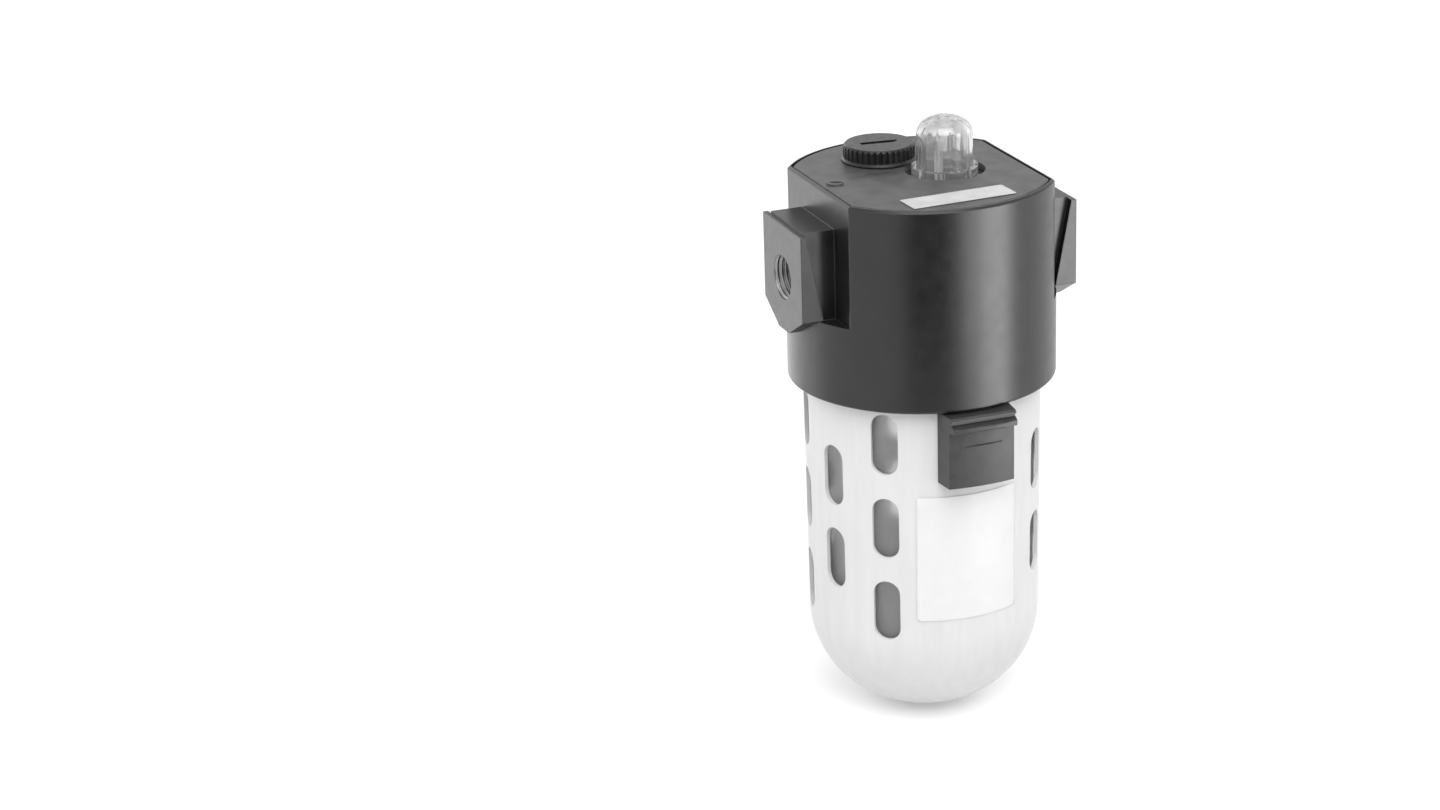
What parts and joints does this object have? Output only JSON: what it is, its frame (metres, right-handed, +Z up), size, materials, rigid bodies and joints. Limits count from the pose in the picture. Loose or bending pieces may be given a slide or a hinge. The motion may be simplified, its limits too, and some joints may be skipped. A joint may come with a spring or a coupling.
{
  "type": "modular air lubricator",
  "caption": "Modular air-line lubricator with a flat-sided metal body, wedge flanges, clear sight dome, ribbed fill plug, clear bowl in a slotted metal guard and a sliding bowl latch.",
  "frame": {"origin": "middle of the inlet port's mouth, on the outer face of the inlet flange", "axes": "+X from the inlet to the outlet, the way the air flows; +Z up; the bowl hangs down; -Y is the front with the latch"},
  "size_m": [0.0906, 0.0879, 0.19],
  "materials": {
    "body_metal": "dark grey baked paint on a die casting, half gloss",
    "cover_plastic": "grey moulded plastic, fine texture",
    "clear_plastic": "clear moulded plastic",
    "seal_rubber": "black rubber",
    "insert_plastic": "natural moulded plastic",
    "black_plastic": "black moulded plastic, half gloss",
    "latch_plastic": "dark grey moulded plastic, half gloss",
    "guard_metal": "pale satin coat on sheet metal",
    "steel": "bright steel",
    "brass": "turned brass",
    "bronze": "sintered bronze"
  },
  "bodies": {
    "unit": {"body": "body_metal", "top_cover": "cover_plastic", "drip_seat": "insert_plastic", "drip_tube": "clear_plastic", "flow_block": "insert_plastic", "flow_block_seal": "seal_rubber", "flow_block_screws": "steel", "flap_pin": "steel", "mist_nozzle": "brass", "siphon_fitting": "brass", "siphon_tube": "insert_plastic", "siphon_filter": "bronze", "bowl_valve_spring": "steel", "bowl_valve_clip": "brass"},
    "dome_seal": {"sight_dome_seal": "seal_rubber"},
    "dome": {"sight_dome": "clear_plastic"},
    "plug_seal": {"fill_plug_seal": "seal_rubber"},
    "plug": {"fill_plug": "black_plastic"},
    "flap": {"flow_flap": "insert_plastic"},
    "siphon_ball": {"check_ball": "steel"},
    "valve_ball": {"bowl_valve_ball": "steel"},
    "bowl_set": {"bowl": "clear_plastic", "bowl_seal": "seal_rubber", "bowl_guard": "guard_metal", "latch_spring": "steel"},
    "latch": {"bowl_latch": "latch_plastic"}
  },
  "joints": [
    {"name": "bowl_turn", "type": "hinge", "parent": "unit", "child": "bowl_set", "pos_m": [0.0453, 0, 0], "axis": [0, 0, 1], "range_deg": [0, 30]},
    {"name": "latch_slide", "type": "slide", "parent": "bowl_set", "child": "latch", "axis": [0, 0, -1], "range_m": [0, 0.005], "stiffness_N_per_m": 200, "deforming": ["latch_spring"]},
    {"name": "plug_lift", "type": "slide", "parent": "unit", "child": "plug_seal", "axis": [0, 0, 1], "range_m": [0, 0.0105]},
    {"name": "plug_turn", "type": "hinge", "parent": "plug_seal", "child": "plug", "pos_m": [0.04, 0.0188, 0], "axis": [0, 0, 1], "range_deg": [0, 2520]},
    {"name": "dome_lift", "type": "slide", "parent": "unit", "child": "dome_seal", "axis": [0, 0, 1], "range_m": [0, 0.00075]},
    {"name": "dome_turn", "type": "hinge", "parent": "dome_seal", "child": "dome", "pos_m": [0.05365, 0, 0], "axis": [0, 0, 1], "range_deg": [0, 270]},
    {"name": "flap_swing", "type": "hinge", "parent": "unit", "child": "flap", "pos_m": [0.04655, 0, 0.0035], "axis": [0, -1, 0], "range_deg": [0, 50], "stiffness_Nm_per_rad": 0.0002},
    {"name": "check_lift", "type": "slide", "parent": "unit", "child": "siphon_ball", "axis": [0, 0, 1], "range_m": [0, 0.0015]},
    {"name": "valve_open", "type": "slide", "parent": "unit", "child": "valve_ball", "axis": [0, 0, -1], "range_m": [0, 0.001], "stiffness_N_per_m": 100, "deforming": ["bowl_valve_spring"]}
  ],
  "couplings": [
    {"joint": "latch_slide", "follows": "bowl_turn", "m_per_rad": 0.0095493},
    {"joint": "plug_turn", "follows": "plug_lift", "rad_per_m": 4188.8},
    {"joint": "dome_turn", "follows": "dome_lift", "rad_per_m": 6283.2}
  ]
}
